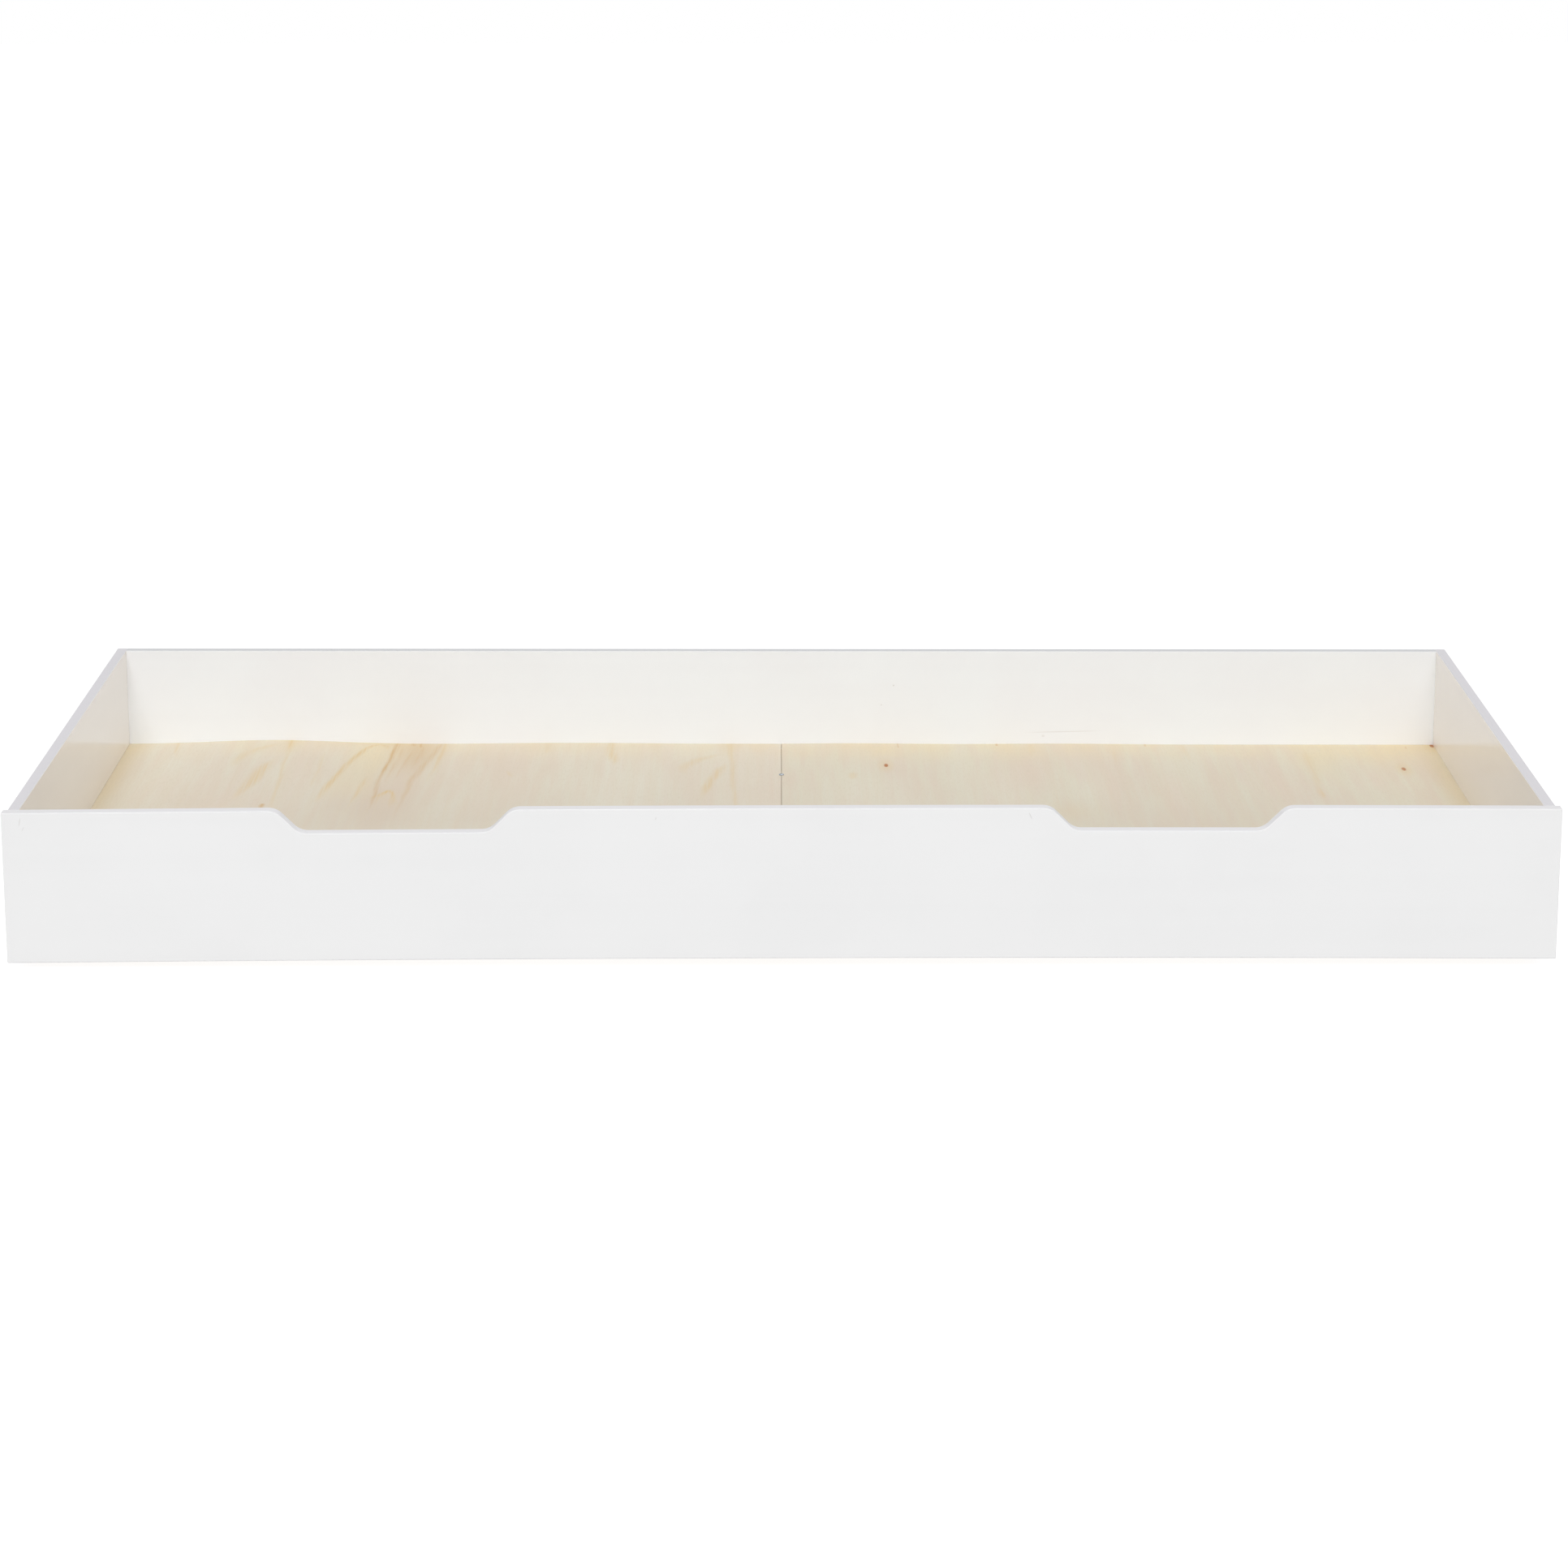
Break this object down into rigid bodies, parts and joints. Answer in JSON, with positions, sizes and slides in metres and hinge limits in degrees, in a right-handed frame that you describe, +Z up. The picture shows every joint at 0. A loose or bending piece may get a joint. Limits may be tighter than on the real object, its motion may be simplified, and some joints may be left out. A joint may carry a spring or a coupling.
{
  "type": "trundle bed",
  "caption": "Low pull-out bed box on fixed casters: white painted panels, two S-curved hand cut-outs in the front, and a two-sheet plywood base for a single mattress.",
  "frame": {"origin": "on the ground, under the middle of the box's overall size", "axes": "+X to the right along the front panel's length, -Y out of the front face, the way the bed pulls out, +Z up"},
  "size_m": [2, 0.95, 0.215],
  "materials": {
    "white_paint": "opaque white lacquer on board, satin",
    "plywood": "clear poplar or birch plywood, unvarnished, fine grain front to back",
    "softwood": "planed softwood, unfinished",
    "zinc_steel": "bright zinc plated steel",
    "wheel_nylon": "dark grey moulded nylon"
  },
  "bodies": {
    "box": {"front_panel": "white_paint", "back_panel": "white_paint", "left_side_panel": "white_paint", "right_side_panel": "white_paint", "left_bottom_sheet": "plywood", "right_bottom_sheet": "plywood", "front_ledger": "softwood", "back_ledger": "softwood", "left_ledger": "softwood", "right_ledger": "softwood", "left_rail": "softwood", "centre_rail": "softwood", "right_rail": "softwood", "left_front_caster_bracket": "zinc_steel", "left_front_caster_axle": "zinc_steel", "left_front_caster_front_screw": "zinc_steel", "left_front_caster_back_screw": "zinc_steel", "left_back_caster_bracket": "zinc_steel", "left_back_caster_axle": "zinc_steel", "left_back_caster_front_screw": "zinc_steel", "left_back_caster_back_screw": "zinc_steel", "centre_front_caster_bracket": "zinc_steel", "centre_front_caster_axle": "zinc_steel", "centre_front_caster_front_screw": "zinc_steel", "centre_front_caster_back_screw": "zinc_steel", "centre_back_caster_bracket": "zinc_steel", "centre_back_caster_axle": "zinc_steel", "centre_back_caster_front_screw": "zinc_steel", "centre_back_caster_back_screw": "zinc_steel", "right_front_caster_bracket": "zinc_steel", "right_front_caster_axle": "zinc_steel", "right_front_caster_front_screw": "zinc_steel", "right_front_caster_back_screw": "zinc_steel", "right_back_caster_bracket": "zinc_steel", "right_back_caster_axle": "zinc_steel", "right_back_caster_front_screw": "zinc_steel", "right_back_caster_back_screw": "zinc_steel", "left_lower_panel_screw": "zinc_steel", "left_lower_cam_bolt": "zinc_steel", "left_lower_cam_disc": "zinc_steel", "left_upper_panel_screw": "zinc_steel", "left_upper_cam_bolt": "zinc_steel", "left_upper_cam_disc": "zinc_steel", "right_lower_panel_screw": "zinc_steel", "right_lower_cam_bolt": "zinc_steel", "right_lower_cam_disc": "zinc_steel", "right_upper_panel_screw": "zinc_steel", "right_upper_cam_bolt": "zinc_steel", "right_upper_cam_disc": "zinc_steel", "seam_screw_front": "zinc_steel", "seam_screw_middle": "zinc_steel", "seam_screw_back": "zinc_steel"},
    "left_front_caster_wheel": {"left_front_caster_wheel": "wheel_nylon"},
    "left_back_caster_wheel": {"left_back_caster_wheel": "wheel_nylon"},
    "centre_front_caster_wheel": {"centre_front_caster_wheel": "wheel_nylon"},
    "centre_back_caster_wheel": {"centre_back_caster_wheel": "wheel_nylon"},
    "right_front_caster_wheel": {"right_front_caster_wheel": "wheel_nylon"},
    "right_back_caster_wheel": {"right_back_caster_wheel": "wheel_nylon"}
  },
  "joints": [
    {"name": "left_front_wheel_spin", "type": "hinge", "parent": "box", "child": "left_front_caster_wheel", "pos_m": [-0.819, -0.337, 0.019], "axis": [1, 0, 0], "continuous": true},
    {"name": "left_back_wheel_spin", "type": "hinge", "parent": "box", "child": "left_back_caster_wheel", "pos_m": [-0.819, 0.34, 0.019], "axis": [1, 0, 0], "continuous": true},
    {"name": "centre_front_wheel_spin", "type": "hinge", "parent": "box", "child": "centre_front_caster_wheel", "pos_m": [0, -0.337, 0.019], "axis": [1, 0, 0], "continuous": true},
    {"name": "centre_back_wheel_spin", "type": "hinge", "parent": "box", "child": "centre_back_caster_wheel", "pos_m": [0, 0.34, 0.019], "axis": [1, 0, 0], "continuous": true},
    {"name": "right_front_wheel_spin", "type": "hinge", "parent": "box", "child": "right_front_caster_wheel", "pos_m": [0.819, -0.337, 0.019], "axis": [1, 0, 0], "continuous": true},
    {"name": "right_back_wheel_spin", "type": "hinge", "parent": "box", "child": "right_back_caster_wheel", "pos_m": [0.819, 0.34, 0.019], "axis": [1, 0, 0], "continuous": true}
  ]
}
